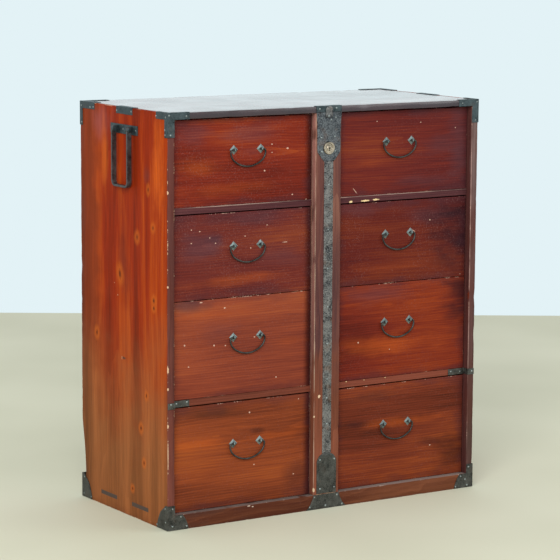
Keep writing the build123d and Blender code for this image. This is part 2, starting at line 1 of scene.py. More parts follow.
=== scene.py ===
# %% [markdown]
# # A clothing chest with a locking bar
# The chest is a lacquered wooden case with eight drawers, bound with hand-forged iron. It was built in CAD first,
# and that model is loaded here as a fixed frame: every board and iron already stands in its place, in metres. This
# notebook gives each piece the look of the real one. A board gets worn arrises and a lacquer material, an iron gets
# an uneven outline and a pitted skin, and the small nails are added.

# %% Load the frame
import json
import math
import random

import bmesh
import bpy
from mathutils import Matrix, Vector, noise

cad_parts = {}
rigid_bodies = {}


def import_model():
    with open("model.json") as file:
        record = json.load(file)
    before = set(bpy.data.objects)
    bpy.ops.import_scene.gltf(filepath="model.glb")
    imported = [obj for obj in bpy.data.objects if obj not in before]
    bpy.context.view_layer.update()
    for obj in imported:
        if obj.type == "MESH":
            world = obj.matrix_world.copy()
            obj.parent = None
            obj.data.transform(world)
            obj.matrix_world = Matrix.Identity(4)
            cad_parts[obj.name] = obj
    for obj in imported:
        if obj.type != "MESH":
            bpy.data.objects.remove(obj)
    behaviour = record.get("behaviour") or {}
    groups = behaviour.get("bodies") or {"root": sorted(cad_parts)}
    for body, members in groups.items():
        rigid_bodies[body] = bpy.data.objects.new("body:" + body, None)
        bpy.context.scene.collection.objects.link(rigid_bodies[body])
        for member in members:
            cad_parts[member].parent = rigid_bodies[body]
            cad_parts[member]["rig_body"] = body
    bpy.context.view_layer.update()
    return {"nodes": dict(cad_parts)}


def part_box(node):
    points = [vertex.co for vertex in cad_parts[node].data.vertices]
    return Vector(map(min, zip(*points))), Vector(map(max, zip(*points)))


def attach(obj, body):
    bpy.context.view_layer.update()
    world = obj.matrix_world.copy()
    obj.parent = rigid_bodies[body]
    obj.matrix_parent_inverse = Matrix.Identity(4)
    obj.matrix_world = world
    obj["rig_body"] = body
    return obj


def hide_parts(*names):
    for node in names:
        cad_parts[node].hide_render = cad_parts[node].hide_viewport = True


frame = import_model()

random.seed(7)
noise.seed_set(7)  # otherwise noise_vector starts from the clock, and the irons differ in each run

# %% [markdown]
# ## Camera
# A chest is drawn best from far away with a long lens, because then its upright edges stay upright. The camera
# stands 6.4 metres off, a little above the top board, turned 33 degrees to the chest's front. The angles turn the
# camera about the world's Z axis, then about its own X and Z axes.

# %% Place the camera
lens = bpy.data.cameras.new("lens")
lens.lens, lens.sensor_width = 159.1, 36.0
camera = bpy.data.objects.new("camera", lens)
bpy.context.scene.collection.objects.link(camera)
bpy.context.scene.camera = camera
bpy.context.scene.view_settings.view_transform = "Standard"  # a colour then shows as it is written
heading, pitch, roll = (math.radians(a) for a in (32.603, -8.501, 0.313))
eye = Vector((-3.3314, -5.2069, 1.4696))
camera.matrix_world = (Matrix.Translation(eye) @ Matrix.Rotation(-heading, 4, "Z")
                       @ Matrix.Rotation(math.pi / 2 + pitch, 4, "X") @ Matrix.Rotation(roll, 4, "Z"))
print("camera distance", round(eye.length, 2))

# %% [markdown]
# ## Colours and nodes
# Colours are written as sRGB hex values, as a paint program shows them, but a shader works in linear light, so one
# function turns them. A second function scales a colour to a darker or brighter one. A third adds one shader node
# with its settings and links, which keeps each material short enough to read.

# %% Helpers for materials
def linear(colour, factor=1.0):
    """The linear colour of an sRGB hex value, made darker or brighter by a factor."""
    parts = [int(colour[i:i + 2], 16) / 255 for i in (1, 3, 5)]
    parts = [c / 12.92 if c <= 0.04045 else ((c + 0.055) / 1.055) ** 2.4 for c in parts]
    return (*(min(c * factor, 1.0) for c in parts), 1.0)


def add(tree, kind, inputs=None, stops=None, **settings):
    """One shader node. An input is another node's output, which is linked, or a value, which is set."""
    node = tree.nodes.new("ShaderNode" + kind)
    for name, value in settings.items():
        setattr(node, name, value)
    for name, value in (inputs or {}).items():
        if isinstance(value, bpy.types.NodeSocket):
            tree.links.new(value, node.inputs[name])
        else:
            node.inputs[name].default_value = value
    if stops:
        ramp = node.color_ramp.elements
        while len(ramp) < len(stops):
            ramp.new(1.0)
        for element, (place, colour) in zip(ramp, stops):
            element.position, element.color = place, colour
    return node.outputs


def new_material(name):
    """An empty node material, and its tree."""
    material = bpy.data.materials.new(name)
    material.use_nodes = True
    material.node_tree.nodes.clear()
    return material, material.node_tree


def grey(value):
    return (value, value, value, 1.0)


print("a lacquer red in linear light", [round(c, 3) for c in linear("#8A2F1B")])

# %% [markdown]
# ## Floor and background
# The chest stands on a plain pale floor in front of a pale wall. A real wall would stand in the way of a camera
# behind the chest, so the wall is only a colour: the world's background. Light Path tells what kind of ray asks. A
# camera, glossy or transmission ray sees the pale wall colour, and every other ray sees a softer, neutral light.

# %% Lay the floor and set the world
floor_mesh = bpy.data.meshes.new("floor")
shape = bmesh.new()
bmesh.ops.create_grid(shape, x_segments=1, y_segments=1, size=2.8)
bmesh.ops.rotate(shape, verts=shape.verts, matrix=Matrix.Rotation(-heading, 3, "Z"))
shape.to_mesh(floor_mesh)
shape.free()
floor = bpy.data.objects.new("floor", floor_mesh)
bpy.context.scene.collection.objects.link(floor)

# A plain pale paint, with only a faint drift of tone.
floor_paint, tree = new_material("pale floor paint")
drift = add(tree, "TexNoise", {"Vector": add(tree, "TexCoord")["Object"], "Scale": 1.2, "Detail": 2.0})["Fac"]
tone = add(tree, "ValToRGB", {"Fac": drift}, [(0.3, linear("#C9CAB2")), (0.7, linear("#D6D7C0"))])["Color"]
skin = add(tree, "BsdfPrincipled", {"Base Color": tone, "Roughness": 0.7})["BSDF"]
add(tree, "OutputMaterial", {"Surface": skin})
floor_mesh.materials.append(floor_paint)

world = bpy.data.worlds.new("studio")
world.use_nodes = True
world.node_tree.nodes.clear()
bpy.context.scene.world = world
tree = world.node_tree
ray = add(tree, "LightPath")
seen = add(tree, "Math", {0: ray["Is Camera Ray"], 1: ray["Is Glossy Ray"]}, operation="MAXIMUM")[0]
seen = add(tree, "Math", {0: seen, 1: ray["Is Transmission Ray"]}, operation="MAXIMUM")[0]
sky = add(tree, "Mix", {0: seen, 6: grey(0.72), 7: linear("#E3F2F6")}, data_type="RGBA")[2]
add(tree, "OutputWorld", {"Surface": add(tree, "Background", {"Color": sky, "Strength": 1.0})[0]})
print("floor", [round(d, 2) for d in floor.dimensions])

# %% [markdown]
# ## Lamps
# Studio light is soft because it comes from large sources. A key lamp stands high on the left in front and a weaker
# fill on the right. A low, very weak lamp far behind the chest leaves a faint sheen on the lacquered top board, which
# a viewer at this height sees at a very flat angle.

# %% Hang the lamps
def hang_lamp(name, place, target, width, height, watts):
    """A soft rectangular lamp that looks at a point and isn't seen by the camera."""
    light = bpy.data.lights.new(name, "AREA")
    light.shape, light.size, light.size_y, light.energy = "RECTANGLE", width, height, watts
    lamp = bpy.data.objects.new(name, light)
    lamp.location = place
    lamp.rotation_euler = (Vector(target) - Vector(place)).to_track_quat("-Z", "Y").to_euler()
    lamp.visible_camera = False
    bpy.context.scene.collection.objects.link(lamp)


hang_lamp("key_lamp", (-3.6, -4.2, 3.6), (0, 0, 0.5), 3.0, 3.0, 250)
hang_lamp("fill_lamp", (3.8, -3.6, 2.4), (0, 0, 0.5), 3.0, 3.0, 60)
hang_lamp("mirror_lamp", (3.6, 5.6, 1.9), (0, 0, 1.0), 5.0, 1.8, 3)
print("lamps", [light.name for light in bpy.data.lights])

# %% [markdown]
# ## Lacquered wood
# The boards are softwood under a thin, see-through red lacquer. Three things give the eye wood: growth rings, which
# a saw cut turns into long arches, fine fibres, and slow drifts of tone. Each is a texture in a space that is
# turned so that X runs across the grain, Y along it and Z through the board. The rings come from a Wave texture in
# rings around a pith that lies a little off the board and a little tilted to it.
# Age is the second layer. Hands, dirt and light have darkened the lacquer in a band along each board's edges, and
# the arris itself is rubbed through to pale wood. Both need the distance to the nearest arris, which follows from
# the board's own box: of a point's three distances to the box's faces, the middle one is the distance to an arris.

# %% Spaces and distances on a board
wave_length = 0.314  # metres from ring to ring in a Wave texture whose scale is 1
ring_spacing = 0.006  # metres between growth rings, unless a board has its own


def wood_space(tree, axes):
    """Object coordinates with X across the grain, Y along it and Z through the board."""
    parts = add(tree, "SeparateXYZ", {"Vector": add(tree, "TexCoord")["Object"]})
    return add(tree, "CombineXYZ", {new: parts[old] for new, old in zip("XYZ", axes)})["Vector"]


def arris_distance(tree, low, high):
    """How far a point of a box-shaped board's skin lies from the nearest arris, in metres."""
    point = add(tree, "TexCoord")["Object"]
    away = add(tree, "VectorMath", {0: point, 1: (low + high) / 2}, operation="SUBTRACT")[0]
    away = add(tree, "VectorMath", {0: away}, operation="ABSOLUTE")[0]
    gap = add(tree, "VectorMath", {0: (high - low) / 2, 1: away}, operation="SUBTRACT")[0]
    gap = add(tree, "SeparateXYZ", {0: gap})
    near = add(tree, "Math", {0: gap["X"], 1: gap["Y"]}, operation="MINIMUM")[0]
    far = add(tree, "Math", {0: gap["X"], 1: gap["Y"]}, operation="MAXIMUM")[0]
    far = add(tree, "Math", {0: far, 1: gap["Z"]}, operation="MINIMUM")[0]
    return add(tree, "Math", {0: near, 1: far}, operation="MAXIMUM")[0]


def blend(tree, factor, first, second, kind="MIX"):
    """Two colours mixed by a factor."""
    return add(tree, "Mix", {0: factor, 6: first, 7: second}, data_type="RGBA", blend_type=kind)[2]


def fade(tree, value, start, end, low=0.0, high=1.0):
    """A value turned into a smooth step from low at start to high at end."""
    return add(tree, "MapRange", {"Value": value, "From Min": start, "From Max": end, "To Min": low,
                                  "To Max": high}, interpolation_type="SMOOTHSTEP")[0]


def spot_distance(tree, point, spots):
    """The distance to the nearest of some spots, where 1 is a spot's rim. Each has a place and a size in mm.

    A spot goes right through the board, unless it also has a depth at which it lies and a half thickness.
    """
    nearest = None
    for across, along, wide, long, turn, *depth in spots:
        through, thick = depth or (0, 10000)
        local = add(tree, "Mapping", {"Vector": point, "Location": (across / 1000, along / 1000, through / 1000),
                                      "Rotation": (0, 0, math.radians(turn)),
                                      "Scale": (wide / 1000, long / 1000, thick / 1000)}, vector_type="TEXTURE")[0]
        reach = add(tree, "VectorMath", {0: local}, operation="LENGTH")["Value"]
        nearest = add(tree, "Math", {0: nearest, 1: reach}, operation="MINIMUM")[0] if nearest else reach
    return nearest


def swing(tree, point, fineness, share, onto, detail=3.0):
    """Add a noise, stretched to the fineness on each axis and worth a share, onto a value."""
    stretched = add(tree, "Mapping", {"Vector": point, "Scale": fineness})[0]
    grain = add(tree, "TexNoise", {"Vector": stretched, "Scale": 1.0, "Detail": detail, "Roughness": 0.6})["Fac"]
    return add(tree, "Math", {0: fade(tree, grain, 0.3, 0.7, -0.5, 0.5), 1: share, 2: onto},
               operation="MULTIPLY_ADD")[0]


print("helpers for wood are ready")

# %% [markdown]
# ## One recipe, many boards
# Every lacquered board uses the same recipe with its own three tones, its own pith and its own lists, so that no two
# boards show the same figure. A chip is a place where the lacquer has flaked off the pale wood. A knot is a dark core
# in a bright halo. A smudge is a soft, wide patch of another tone. A face is a side of the board with its own tone.

# %% The lacquer recipe
def lacquered_wood(name, low, high, axes, tones, pith, spacing=ring_spacing, clouds=((6, 1.6, 6), 0.38),
                   streaks=0.15, fibres=0.2, arches=0.19, patina=("#43242A", 0.03, 0.5), rubbed="#C2A08C",
                   rub=0.0009, chips=(), knots=(), smudges=(), faces=(), chip_chance=0.03, scuffs=0.08, gloss=0.42,
                   shine=0.05, coat=0.0):
    """Red see-through lacquer over softwood, for the board between two corners."""
    material, tree = new_material(name)

    def stained(shade, spread):
        """The same figure in another tone, from darker to brighter."""
        return add(tree, "ValToRGB", {"Fac": figure}, [(0.0, linear(shade, 1 - spread)), (0.5, linear(shade)),
                                                       (1.0, linear(shade, 1 + spread))])["Color"]

    point = wood_space(tree, axes)
    place = add(tree, "SeparateXYZ", {0: point})
    waver = add(tree, "TexNoise", {"Vector": add(tree, "Mapping", {"Vector": point, "Scale": (1, 0.25, 1)})[0],
                                   "Scale": 14.0, "Detail": 2.0})["Color"]
    bent = add(tree, "VectorMath", {0: waver, 1: (0.014, 0.0, 0.014), 2: point}, operation="MULTIPLY_ADD")[0]
    log = add(tree, "Mapping", {"Vector": bent, "Location": pith[:3], "Rotation": (math.radians(pith[3]), 0,
                                math.radians(pith[4]))}, vector_type="TEXTURE")[0]
    rings = add(tree, "TexWave", {"Vector": log, "Scale": wave_length / spacing, "Distortion": 0.8, "Detail": 2.0,
                                  "Detail Scale": 0.4}, wave_type="RINGS", rings_direction="Y",
                wave_profile="SAW")["Fac"]
    figure = add(tree, "Math", {0: fade(tree, rings, 0.6, 0.98, -0.3, 0.7), 1: arches, 2: 0.5},
                 operation="MULTIPLY_ADD")[0]
    figure = swing(tree, bent, clouds[0], clouds[1], figure, 1.0)
    figure = swing(tree, bent, (70, 2.5, 70), streaks, figure)
    figure = swing(tree, bent, (420, 9, 420), fibres, figure, 4.0)
    deep, middle, bright = tones
    colour = add(tree, "ValToRGB", {"Fac": figure}, [(0.05, linear(deep)), (0.5, linear(middle)),
                                                     (0.95, linear(bright))])["Color"]
    drift = add(tree, "TexNoise", {"Vector": point, "Scale": 9.0, "Detail": 3.0})["Fac"]
    for shade, axis, start, end, loose in faces:
        part = add(tree, "Math", {0: fade(tree, drift, 0.3, 0.7, -0.5, 0.5), 1: loose, 2: place[axis]},
                   operation="MULTIPLY_ADD")[0]
        colour = blend(tree, fade(tree, part, start, end), colour, stained(shade, 0.5))
    for shade, strength, *spot in smudges:
        soft = swing(tree, point, (26, 9, 26), 0.7, spot_distance(tree, point, [spot]))
        colour = blend(tree, fade(tree, soft, 0.0, 1.4, strength, 0.0), colour, stained(shade, 0.45))

    edge = arris_distance(tree, low, high)
    ragged = swing(tree, point, (20, 8, 20), 0.03, edge)
    colour = blend(tree, fade(tree, ragged, -0.012, patina[1], patina[2], 0.0), colour, linear(patina[0]))
    if knots:
        around = swing(tree, point, (300, 30, 300), 0.4, spot_distance(tree, point, knots))
        colour = blend(tree, fade(tree, around, 0.9, 2.8, 0.55, 0.0), colour, linear("#C4621E"))
        colour = blend(tree, fade(tree, around, 0.8, 1.1, 0.4, 0.0), colour, linear("#7C3414"))
        colour = blend(tree, fade(tree, around, 0.3, 0.65, 0.75, 0.0), colour, linear("#431F12"))

    crumble = add(tree, "TexNoise", {"Vector": point, "Scale": 260.0, "Detail": 3.0})["Fac"]
    scratched = add(tree, "Math", {0: fade(tree, crumble, 0.52, 0.7), 1: fade(tree, drift, 0.4, 0.62, 0.3, 1.0)},
                    operation="MULTIPLY")[0]
    scratched = add(tree, "Math", {0: scratched, 1: scuffs}, operation="MULTIPLY")[0]
    colour = blend(tree, scratched, colour, linear("#8E6A66"))
    touched = add(tree, "TexNoise", {"Vector": point, "Scale": 30.0, "Detail": 2.0})["Fac"]
    reach = fade(tree, touched, 0.42, 0.68, 0.12 * rub, rub)
    reach = add(tree, "Math", {0: reach, 1: fade(tree, crumble, 0.3, 0.7, 0.3, 1.6)}, operation="MULTIPLY")[0]
    bare = add(tree, "Math", {0: reach, 1: edge}, operation="SUBTRACT")[0]
    bare = fade(tree, bare, -0.0002, 0.0002, 0.0, 0.85)
    cells = add(tree, "TexVoronoi", {"Vector": point, "Scale": 38.0})
    lot = add(tree, "SeparateColor", {0: cells["Color"]})
    chance = add(tree, "Math", {0: fade(tree, edge, 0.0, 0.03, 2.2, 1.0), 1: chip_chance}, operation="MULTIPLY")[0]
    chosen = add(tree, "Math", {0: lot["Red"], 1: chance}, operation="LESS_THAN")[0]
    size = add(tree, "Math", {0: lot["Green"], 1: 0.035, 2: 0.075}, operation="MULTIPLY_ADD")[0]
    rim = add(tree, "Math", {0: crumble, 1: 0.12, 2: cells["Distance"]}, operation="MULTIPLY_ADD")[0]
    fleck = add(tree, "Math", {0: rim, 1: size}, operation="LESS_THAN")[0]
    bare = add(tree, "Math", {0: add(tree, "Math", {0: fleck, 1: chosen}, operation="MULTIPLY")[0], 1: bare},
               operation="MAXIMUM")[0]
    if chips:
        around = add(tree, "Math", {0: crumble, 1: 1.1, 2: spot_distance(tree, point, chips)},
                     operation="MULTIPLY_ADD")[0]
        bare = add(tree, "Math", {0: bare, 1: fade(tree, around, 1.1, 1.35, 1.0, 0.0)}, operation="MAXIMUM")[0]
    fresh = blend(tree, crumble, linear(rubbed, 0.75), linear(rubbed, 1.25))
    colour = blend(tree, bare, colour, fresh)

    rough = add(tree, "Math", {0: bare, 1: 0.3, 2: fade(tree, drift, 0.3, 0.7, gloss, gloss + 0.12)},
                operation="MULTIPLY_ADD")[0]
    height = add(tree, "Math", {0: bare, 1: -0.8, 2: figure}, operation="MULTIPLY_ADD")[0]
    relief = add(tree, "Bump", {"Strength": 0.3, "Distance": 0.0004, "Height": height})["Normal"]
    skin = add(tree, "BsdfPrincipled", {"Base Color": colour, "Roughness": rough, "Specular IOR Level": shine,
                                        "Normal": relief, "Coat Weight": coat, "Coat Roughness": 0.2})["BSDF"]
    add(tree, "OutputMaterial", {"Surface": skin})
    return material


print("lacquer recipe is ready")

# %% [markdown]
# ## Bare wood
# Inside, such a chest is left unlacquered: planed light softwood that has turned honey-grey. The same rings and
# fibres show, only paler and quieter, and the skin is matt. One recipe serves all the inner boards. The back is four
# boards, one above the other, in one node: the height divided by a board's own height and rounded down numbers them,
# and each number shifts the pattern and the tone, so that no two are alike.

# %% Bare wood and end grain
def bare_wood(name, axes, tone, dark_beyond=None, board=None):
    """Planed, unlacquered softwood. Beyond a distance from the middle it is end grain, dark with dirt."""
    material, tree = new_material(name)
    point = wood_space(tree, axes)
    if board:
        height = add(tree, "SeparateXYZ", {0: add(tree, "TexCoord")["Object"]})["Z"]
        height = add(tree, "Math", {0: height, 1: board}, operation="DIVIDE")[0]
        number = add(tree, "Math", {0: height}, operation="FLOOR")[0]
        point = add(tree, "VectorMath", {0: add(tree, "CombineXYZ", {0: number, 1: number, 2: number})[0],
                                         1: (0.31, 1.7, 0.013), 2: point}, operation="MULTIPLY_ADD")[0]
    fibre = add(tree, "TexNoise", {"Vector": add(tree, "Mapping", {"Vector": point, "Scale": (300, 8, 300)})[0],
                                   "Scale": 1.0, "Detail": 4.0})["Fac"]
    log = add(tree, "Mapping", {"Vector": point, "Location": (0.02, 0, 0.09), "Rotation": (0.03, 0, 0.02)},
              vector_type="TEXTURE")[0]
    rings = add(tree, "TexWave", {"Vector": log, "Scale": wave_length / ring_spacing, "Distortion": 1.5,
                                  "Detail": 2.0, "Detail Scale": 0.6}, wave_type="RINGS", rings_direction="Y",
                wave_profile="SAW")["Fac"]
    figure = add(tree, "Math", {0: fibre, 1: add(tree, "Math", {0: rings, 1: 0.35}, operation="MULTIPLY")[0]},
                 operation="SUBTRACT")[0]
    colour = add(tree, "ValToRGB", {"Fac": figure}, [(0.0, linear(tone, 0.55)), (0.3, linear(tone)),
                                                     (0.7, linear(tone, 1.25))])["Color"]
    if board:
        lot = add(tree, "TexWhiteNoise", {"W": number}, noise_dimensions="1D")["Value"]
        colour = blend(tree, fade(tree, lot, 0.0, 1.0, 0.0, 0.4), colour, linear(tone, 0.45))
        middle = add(tree, "Math", {0: add(tree, "Math", {0: height}, operation="FRACT")[0], 1: 0.5},
                     operation="SUBTRACT")[0]
        seam = add(tree, "Math", {0: middle}, operation="ABSOLUTE")[0]
        shaded, black = 0.0035 / board, 0.0008 / board  # the last millimetres before a seam, as shares of a board
        colour = blend(tree, fade(tree, seam, 0.5 - shaded, 0.5 - black), colour, linear("#33271A"))
    if dark_beyond:
        reach = add(tree, "SeparateXYZ", {0: add(tree, "TexCoord")["Object"]})["X"]
        reach = add(tree, "Math", {0: reach}, operation="ABSOLUTE")[0]
        colour = blend(tree, fade(tree, reach, dark_beyond - 0.001, dark_beyond), colour, linear("#45342A"))
    relief = add(tree, "Bump", {"Strength": 0.3, "Distance": 0.0003, "Height": fibre})["Normal"]
    skin = add(tree, "BsdfPrincipled", {"Base Color": colour, "Roughness": 0.75, "IOR": 1.5,
                                        "Normal": relief})["BSDF"]
    add(tree, "OutputMaterial", {"Surface": skin})
    return material


planed_tone = "#A98A5E"
inner_lengthwise = bare_wood("planed softwood, grain front to back", "XYZ", planed_tone)
inner_crosswise = bare_wood("planed softwood, grain side to side", "YXZ", "#A5855A")
back_wood = bare_wood("planed softwood of the four back boards", "ZXY", "#9F7F55", board=0.246)
tenoned_bottom = bare_wood("planed softwood of the bottom board, dark tenon ends", "YXZ", "#9C7C50",
                           dark_beyond=0.4525)
print("bare wood materials", len([m for m in bpy.data.materials if "planed" in m.name]))

# %% [markdown]
# ## Forged iron
# The irons were hammered from thin plate, burnt black in oil and have rusted a little since. To the eye that is a
# dark grey metal with a dull shine, blotches a few millimetres wide, darker pits and paler, rubbed places. Blotches
# and pits are noise and Voronoi cells, scaled by one over their size. A rubbed edge could follow the Geometry node's
# Pointiness, but that would be lost outside Blender, so noise alone breaks up the tone.

# %% The iron recipe
def forged_iron(name, dark, pale, pit=0.0022, blotch=0.014, roughness=0.5, rust=0.12, pitting=0.5, metal=0.75,
                grain=0.5):
    """Black-burnt hammered iron with pits, blotches and a breath of rust."""
    material, tree = new_material(name)
    point = add(tree, "TexCoord")["Object"]
    cloud = add(tree, "TexNoise", {"Vector": point, "Scale": 1 / blotch, "Detail": 5.0, "Roughness": 0.6})["Fac"]
    grit = add(tree, "TexNoise", {"Vector": point, "Scale": 1 / pit, "Detail": 3.0, "Roughness": 0.6})["Fac"]
    pits = add(tree, "TexVoronoi", {"Vector": point, "Scale": 0.5 / pit})["Distance"]
    pits = fade(tree, add(tree, "Math", {0: cloud, 1: 0.9, 2: pits}, operation="MULTIPLY_ADD")[0], 0.45, 0.75)
    tone = add(tree, "Math", {0: grit, 1: grain, 2: cloud}, operation="MULTIPLY_ADD")[0]
    tone = add(tree, "Math", {0: tone, 1: grain / 2}, operation="SUBTRACT")[0]
    colour = add(tree, "ValToRGB", {"Fac": tone}, [(0.25, linear(dark)), (0.7, linear(pale))])["Color"]
    stain = fade(tree, add(tree, "TexNoise", {"Vector": point, "Scale": 38.0, "Detail": 4.0})["Fac"], 0.55, 0.7)
    stain = add(tree, "Math", {0: stain, 1: rust}, operation="MULTIPLY")[0]
    colour = blend(tree, stain, colour, linear("#6B4A33"))
    sunk = add(tree, "Math", {0: pits, 1: pitting, 2: 1 - pitting}, operation="MULTIPLY_ADD")[0]
    colour = blend(tree, 1.0, colour, sunk, "MULTIPLY")
    height = add(tree, "Math", {0: pits, 1: pitting, 2: grit}, operation="MULTIPLY_ADD")[0]
    relief = add(tree, "Bump", {"Strength": 0.5, "Distance": 0.0005, "Height": height})["Normal"]
    rough = fade(tree, cloud, 0.3, 0.7, roughness - 0.08, roughness + 0.12)
    skin = add(tree, "BsdfPrincipled", {"Base Color": colour, "Metallic": metal, "Roughness": rough,
                                        "Normal": relief})["BSDF"]
    add(tree, "OutputMaterial", {"Surface": skin})
    return material


black_iron = forged_iron("oil-blackened iron of the corner irons", "#212A2C", "#515D60")
bar_iron = forged_iron("pitted grey iron of the bar's strap and hasp", "#27282D", "#858380", pit=0.003,
                       pitting=0.8, rust=0.35, grain=1.3)
lock_iron = forged_iron("darker pitted iron of the lock plate", "#1E2228", "#6D7174", pit=0.003, pitting=0.8,
                        rust=0.25, grain=1.5)
foot_iron = forged_iron("plain dark iron of the feet and rail straps", "#2A2B29", "#5B5B56", pitting=0.4, grain=0.8)
handle_iron = forged_iron("worn black iron of the carrying loops", "#2C2B2B", "#605F5F", roughness=0.42)
pull_iron = forged_iron("hand-rubbed iron of the pulls", "#1F1E1E", "#4E4C49", roughness=0.36, rust=0.05)
washer_iron = forged_iron("grey iron of the pyramid washers", "#4C5655", "#8A9694", roughness=0.45, rust=0.05,
                          pitting=0.3)
nail_iron = forged_iron("pale rubbed nail heads", "#6A7070", "#9EA5A2", roughness=0.35, rust=0.05, pitting=0.2)
brass = forged_iron("dull old brass of the lock's boss", "#7A6F62", "#C0B29C", roughness=0.4, rust=0.1,
                    pitting=0.3, metal=1.0)
print("metals", [m.name for m in bpy.data.materials if "iron" in m.name or "brass" in m.name or "nail" in m.name])

# %% [markdown]
# ## From CAD node to old board
# A CAD board has razor-sharp, dead straight arrises. To age one, its loose triangles are first joined in a copy,
# which then stands for the node. Cuts every few millimetres along the board give the arrises points to move, a
# bevel rounds them, and noise pushes each point near an arris a little way into the board, here and there deeper,
# as knocks do. Everything moves inwards, so the board keeps its real size.

# %% Helpers for pieces
def joined_copy(node):
    """A bmesh of a CAD node with its loose triangles joined to whole faces."""
    shape = bmesh.new()
    shape.from_mesh(frame["nodes"][node].data)
    bmesh.ops.remove_doubles(shape, verts=shape.verts, dist=1e-6)
    bmesh.ops.dissolve_limit(shape, angle_limit=math.radians(0.5), verts=shape.verts, edges=shape.edges)
    return shape


def cut_across(shape, axis, step):
    """Cut the shape by planes a step apart along one axis."""
    low = min(v.co[axis] for v in shape.verts)
    high = max(v.co[axis] for v in shape.verts)
    normal = Vector((axis == 0, axis == 1, axis == 2))
    count = max(int((high - low) / step), 1)
    for k in range(1, count):
        bmesh.ops.bisect_plane(shape, geom=shape.verts[:] + shape.edges[:] + shape.faces[:], dist=1e-6,
                               plane_co=normal * (low + (high - low) * k / count), plane_no=normal)


def round_arrises(shape, width, segments=2, sharper_than=35):
    """Bevel every edge that is sharper than an angle in degrees."""
    sharp = [e for e in shape.edges if len(e.link_faces) == 2
             and e.calc_face_angle(0) > math.radians(sharper_than)]
    bmesh.ops.bevel(shape, geom=sharp, offset=width, offset_type="OFFSET", segments=segments, profile=0.5,
                    affect="EDGES", material=-1, clamp_overlap=True)


def knock(shape, low, high, reach=0.004, wear=0.0006, dent=0.0014):
    """Push the points near a box's arrises inwards: a little everywhere, deeper in a few places."""
    middle = (low + high) / 2
    fine, slow, elsewhere = 60, 23, Vector((5, 0, 0))  # noise per metre, and a shift that parts the two
    for v in shape.verts:
        gaps = [min(v.co[i] - low[i], high[i] - v.co[i]) for i in range(3)]
        if sorted(gaps)[1] > reach:
            continue
        rub = wear * (0.5 + 0.5 * noise.noise(v.co * fine))
        rub += dent * max(noise.noise(v.co * slow + elsewhere) - 0.25, 0) * 2
        for i in range(3):
            if gaps[i] < reach:
                v.co[i] += math.copysign(rub, middle[i] - v.co[i])


def make_piece(name, shape, finish, stands_for=(), body=None, crisp=32):
    """Turn a bmesh into a piece that rides on a body, with a finish."""
    mesh = bpy.data.meshes.new(name)
    shape.to_mesh(mesh)
    shape.free()
    mesh.materials.append(finish)
    mesh.shade_smooth()
    mesh.set_sharp_from_angle(angle=math.radians(crisp))
    piece = bpy.data.objects.new(name, mesh)
    bpy.context.scene.collection.objects.link(piece)
    nodes = frame["nodes"]
    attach(piece, body or nodes[stands_for[0]]["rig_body"])
    if stands_for:
        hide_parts(*stands_for)
    return piece


def dress(node, finish, rounding=0.0006):
    """Keep a CAD node, weld its triangles, round its edges with a modifier and give it a finish."""
    piece = frame["nodes"][node]
    piece.data.materials.clear()
    piece.data.materials.append(finish)
    weld = piece.modifiers.new("join triangles", "WELD")
    weld.merge_threshold = 1e-6
    if rounding:
        edges = piece.modifiers.new("round edges", "BEVEL")
        edges.width, edges.segments, edges.limit_method = rounding, 2, "ANGLE"
        edges.angle_limit = math.radians(35)


# %% [markdown]
# ## Side boards and top board
# The side boards are wide planks whose grain stands upright. The left one is the show side, with a dozen knots:
# warm orange in the middle and in front, purple-brown at the rear, and towards the floor a duller brown, which is a
# painted reflection of the pale floor. The top board's lacquer is the glossiest, and at a flat angle it mirrors the
# pale room.

# %% Age the case's outer boards
def old_board(node, finish, cuts, wear=0.0006, dent=0.0014, rounding=0.0009):
    """A CAD board as an old one: rounded, knocked arrises and its own lacquer."""
    shape = joined_copy(node)
    for axis, step in cuts:
        cut_across(shape, axis, step)
    round_arrises(shape, rounding)
    low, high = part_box(node)
    knock(shape, low, high, wear=wear, dent=dent)
    return make_piece(node + "_aged", shape, finish, (node,))


# Faces that several boards share: an axis, where the other tone starts and is full, and how far noise moves that.
front_edge = ("X", -0.2122, -0.2136, 0.0)
inner_face = {side: ("Z", side * 0.4352, side * 0.4344, 0.0) for side in (-1, 1)}
# Towards the floor the side boards turn a duller brown: a painted reflection of the pale floor in their lacquer.
painted_floor_reflection = ("#87512D", "Y", 0.58, 0.10, 0.10)

